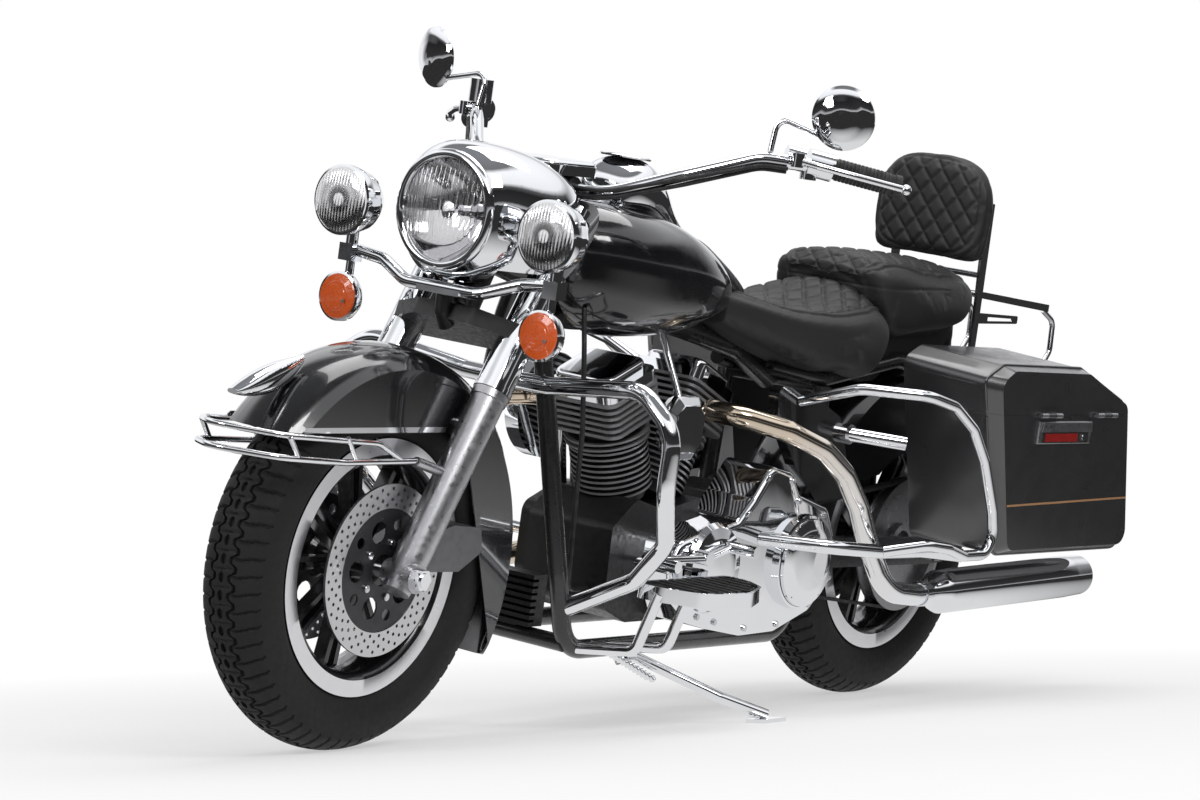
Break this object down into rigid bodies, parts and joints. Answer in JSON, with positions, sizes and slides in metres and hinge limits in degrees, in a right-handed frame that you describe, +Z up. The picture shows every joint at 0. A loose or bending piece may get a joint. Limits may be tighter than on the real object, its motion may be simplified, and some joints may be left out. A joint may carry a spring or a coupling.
{
  "type": "touring cruiser motorcycle",
  "caption": "Touring cruiser motorcycle with a V-twin engine, valanced fenders, hard saddlebags, two-up seat and backrest, leaning on its side stand.",
  "frame": {"origin": "on the ground, under the middle of the machine's overall box", "axes": "+X forward, +Y to the rider's left, +Z up; the machine leans 11.4 degrees to its left on the side stand"},
  "size_m": [2.4558, 1.058, 1.2801],
  "materials": {
    "frame_black": "gloss black powder coat",
    "axle_steel": "plated steel",
    "engine_black": "wrinkle black with bright fin edges",
    "chrome": "polished chrome",
    "gloss_black": "deep gloss black paint",
    "saddlebag_black": "smooth black leather cover over a moulded shell",
    "seat_leather": "smooth black leather",
    "satin_aluminium": "satin cast aluminium",
    "fork_steel": "ground steel",
    "lamp_glass": "fluted clear glass",
    "grip_rubber": "matt",
    "regulator_black": "satin black",
    "wheel_black": "black paint with a machined lip",
    "tyre": "matt",
    "disc_steel": "ground",
    "belt_rubber": "matt",
    "pulley_metal": "satin"
  },
  "bodies": {
    "chassis": {"frame": "frame_black", "swingarm": "frame_black", "rear_axle": "axle_steel", "crankcase": "engine_black", "cylinders": "engine_black", "rocker_boxes": "chrome", "pushrod_tubes": "chrome", "primary_cover": "chrome", "transmission": "engine_black", "air_cleaner": "chrome", "horn_cover": "chrome", "regulator": "regulator_black", "exhaust_pipes": "chrome", "mufflers": "chrome", "fuel_tank": "gloss_black", "tank_console": "chrome", "tank_bib": "seat_leather", "rider_seat": "seat_leather", "passenger_seat": "seat_leather", "backrest_pad": "seat_leather", "luggage_rack": "chrome", "rear_fender": "gloss_black", "side_covers": "gloss_black", "saddlebag_left": "saddlebag_black", "saddlebag_right": "saddlebag_black", "engine_guard": "chrome", "saddlebag_guards": "chrome", "footrests": "chrome", "foot_controls": "chrome", "tail_lamp": "gloss_black", "drive_belt": "belt_rubber", "bag_latches": "chrome", "clutch_cable": "belt_rubber", "stand_springs": "axle_steel"},
    "fork": {"steering_yokes": "fork_steel", "fork_tubes": "chrome", "fork_sliders": "satin_aluminium", "headlight_nacelle": "chrome", "headlight": "lamp_glass", "passing_lamps": "chrome", "turn_signals": "chrome", "front_fender": "gloss_black", "fender_bumper": "chrome", "brake_calipers": "chrome", "handlebar": "chrome", "hand_grips": "grip_rubber", "hand_controls": "chrome", "mirrors": "chrome", "front_axle": "axle_steel", "control_cables": "belt_rubber"},
    "front_wheel": {"front_wheel_casting": "wheel_black", "front_tyre": "tyre", "front_discs": "disc_steel"},
    "rear_wheel": {"rear_wheel_casting": "wheel_black", "rear_tyre": "tyre", "rear_pulley_and_disc": "pulley_metal"},
    "side_stand": {"side_stand": "chrome"},
    "lid_left": {"saddlebag_lid_left": "saddlebag_black"},
    "lid_right": {"saddlebag_lid_right": "saddlebag_black"}
  },
  "joints": [
    {"name": "steering", "type": "hinge", "parent": "chassis", "child": "fork", "pos_m": [0.6183, -0.03667, 0.78422], "axis": [-0.4384, 0.1777, 0.8811], "range_deg": [-33, 33]},
    {"name": "front_wheel_spin", "type": "hinge", "parent": "fork", "child": "front_wheel", "pos_m": [0.85148, -0.13162, 0.31334], "axis": [0, 0.9803, -0.1977], "continuous": true},
    {"name": "rear_wheel_spin", "type": "hinge", "parent": "chassis", "child": "rear_wheel", "pos_m": [-0.76052, -0.13162, 0.31334], "axis": [0, 0.9803, -0.1977], "continuous": true},
    {"name": "side_stand_fold", "type": "hinge", "parent": "chassis", "child": "side_stand", "pos_m": [0.22448, -0.00887, 0.12777], "axis": [-0.7353, 0.6542, 0.1773], "range_deg": [0, 78]},
    {"name": "lid_left_hinge", "type": "hinge", "parent": "chassis", "child": "lid_left", "pos_m": [-0.81052, 0.34557, 0.53984], "axis": [-1, 0, 0], "range_deg": [0, 92]},
    {"name": "lid_right_hinge", "type": "hinge", "parent": "chassis", "child": "lid_right", "pos_m": [-0.81052, -0.48374, 0.70706], "axis": [1, 0, 0], "range_deg": [0, 92]}
  ]
}
